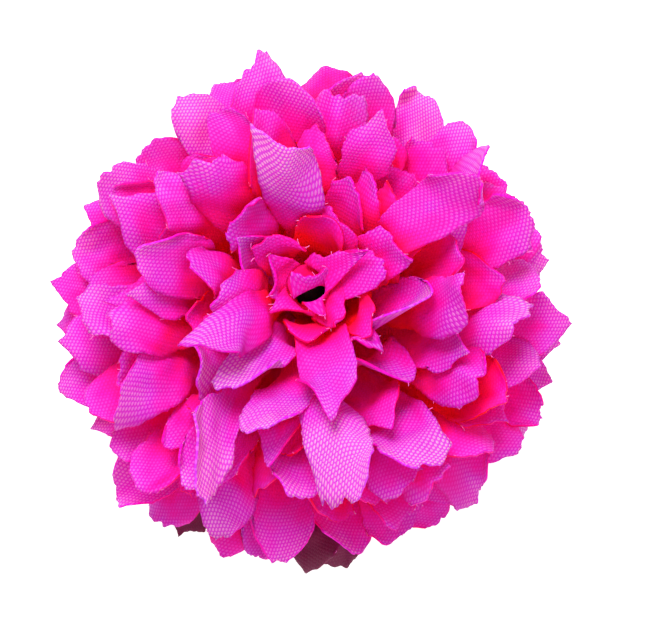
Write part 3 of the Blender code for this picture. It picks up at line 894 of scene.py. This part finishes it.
def makeHub(material):
    h = hubMoulding
    low = pile["firstHeight"] + pile["pitch"] * (sheetCount - 1) + pile["solidThickness"] / 2.0 + 0.3
    outline = (
        (0.0, 0.25), (2.2, 0.25), (2.5, 0.0), (h["baseRadius"] - 0.35, 0.0), (h["baseRadius"], 0.35),
        (h["baseRadius"], h["baseThickness"] - 0.35), (h["baseRadius"] - 0.35, h["baseThickness"]),
        (h["bossRadius"] + 0.45, h["baseThickness"]), (h["bossRadius"], h["baseThickness"] + 0.45),
        (h["bossRadius"] - 0.2, h["bossTop"] - 0.2), (h["bossRadius"] - 0.4, h["bossTop"]),
        (h["postRadius"], h["bossTop"]), (h["postRadius"], low), (h["pinRadius"] - 0.1, low),
        (h["pinRadius"], low + 0.1), (h["pinRadius"], low + 0.35), (0.92 * h["pinRadius"], low + 0.62),
        (0.72 * h["pinRadius"], low + 0.85 * h["pinThickness"]),
        (0.4 * h["pinRadius"], low + 0.97 * h["pinThickness"]), (0.0, low + h["pinThickness"]),
    )
    bm = bmesh.new()
    verts = [bm.verts.new((radius * mm, 0.0, height * mm)) for radius, height in outline]
    edges = [bm.edges.new(pair) for pair in zip(verts, verts[1:])]
    bmesh.ops.spin(
        bm, geom=verts + edges, cent=(0, 0, 0), axis=(0, 0, 1), angle=2.0 * math.pi, steps=h["turns"],
        use_merge=True,
    )
    bmesh.ops.remove_doubles(bm, verts=bm.verts, dist=1e-6)
    bmesh.ops.recalc_face_normals(bm, faces=bm.faces)
    for face in bm.faces:
        face.smooth = True
    sharp = [edge for edge in bm.edges if edge.is_manifold and edge.calc_face_angle() > 0.6]
    bmesh.ops.bevel(
        bm, geom=sharp, offset=0.05 * mm, offset_type="OFFSET", segments=2, profile=0.5, affect="EDGES",
        material=-1,
    )
    mesh = bpy.data.meshes.new("mouldedHub")
    bm.to_mesh(mesh)
    bm.free()
    mesh.materials.append(material)
    piece = bpy.data.objects.new("mouldedHub", mesh)
    bpy.context.scene.collection.objects.link(piece)
    return piece


sheets = drawPetals()
drawFineCut(sheets)
layDown(sheets)
measureLaid(sheets)
seeTheSky(sheets)
print("petals laid:", sum(len(sheet["petals"]) for sheet in sheets))

clothFace = wovenCloth("wovenPetalCloth", False)
clothRim = wovenCloth("cutClothEdge", True)
for sheet in sheets:
    piece = makePetalSheet(sheet, (clothFace, clothRim))
    node = f"petal_layer_{sheet['number'] + 1:02d}"
    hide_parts(node)
    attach(piece, "root")

yarns = makeFrayedYarns(sheets, looseYarn())
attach(yarns, "root")

hub = makeHub(blackPlastic())
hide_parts("hub")
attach(hub, "root")
print("petal sheets and hub made")

studio = {
    "lens": 85.0,
    "elevation": 80.0,
    "target": (0.0014, -0.0012, 0.0115),
    "distance": 0.1445,
    "softboxes": (
        ("keySoftbox", (-0.08, 0.27, 0.46), 0.30, 3.7),
        ("fillSoftbox", (0.14, -0.26, 0.44), 0.30, 1.0),
    ),
    "sky": 0.36,
    "floorGlow": 0.66,
}


def makeStudio():
    bm = bmesh.new()
    bmesh.ops.create_grid(bm, x_segments=8, y_segments=8, size=1.2)
    bmesh.ops.translate(bm, verts=bm.verts, vec=(0.0, 0.0, -0.02 * mm))
    mesh = bpy.data.meshes.new("floor")
    bm.to_mesh(mesh)
    bm.free()
    floor = bpy.data.objects.new("floor", mesh)
    bpy.context.scene.collection.objects.link(floor)
    material, wire = newMaterial("paleFloor")
    place = wire.node("ShaderNodeTexCoord", {}, {}, 3)
    speck = wire.node("ShaderNodeTexNoise", {}, {"Vector": place, "Scale": 40.0, "Detail": 3.0}, 0)
    shade = speck.mixed((0.90, 0.90, 0.90), (0.94, 0.94, 0.94))
    shader = wire.node("ShaderNodeBsdfPrincipled", {}, {
        "Base Color": shade, "Roughness": 0.9, "Specular IOR Level": 0.1,
        "Emission Color": (1.0, 1.0, 1.0, 1.0), "Emission Strength": studio["floorGlow"],
    })
    wire.node("ShaderNodeOutputMaterial", {}, {"Surface": shader})
    mesh.materials.append(material)

    world = bpy.data.worlds.new("studioSky")
    world.use_nodes = True
    sky = world.node_tree.nodes["Background"]
    sky.inputs["Color"].default_value = (1.0, 1.0, 1.0, 1.0)
    sky.inputs["Strength"].default_value = studio["sky"]
    bpy.context.scene.world = world

    for name, place, size, power in studio["softboxes"]:
        light = bpy.data.lights.new(name, "AREA")
        light.shape = "DISK"
        light.size = size
        light.energy = power
        lamp = bpy.data.objects.new(name, light)
        lamp.location = place
        aim = -(lamp.location - bpy.data.objects["mouldedHub"].location)
        lamp.rotation_euler = aim.to_track_quat("-Z", "Y").to_euler()
        bpy.context.scene.collection.objects.link(lamp)

    camera = bpy.data.objects.new("photoCamera", bpy.data.cameras.new("photoCamera"))
    rise = math.radians(studio["elevation"])
    x, y, z = studio["target"]
    camera.location = (x, y - studio["distance"] * math.cos(rise), z + studio["distance"] * math.sin(rise))
    camera.rotation_euler = (math.pi / 2.0 - rise, 0.0, 0.0)
    camera.data.lens = studio["lens"]
    camera.data.clip_start = 0.01
    bpy.context.scene.collection.objects.link(camera)
    bpy.context.scene.camera = camera
    bpy.context.scene.view_settings.view_transform = "Standard"


makeStudio()
print("floor, lights and camera set")
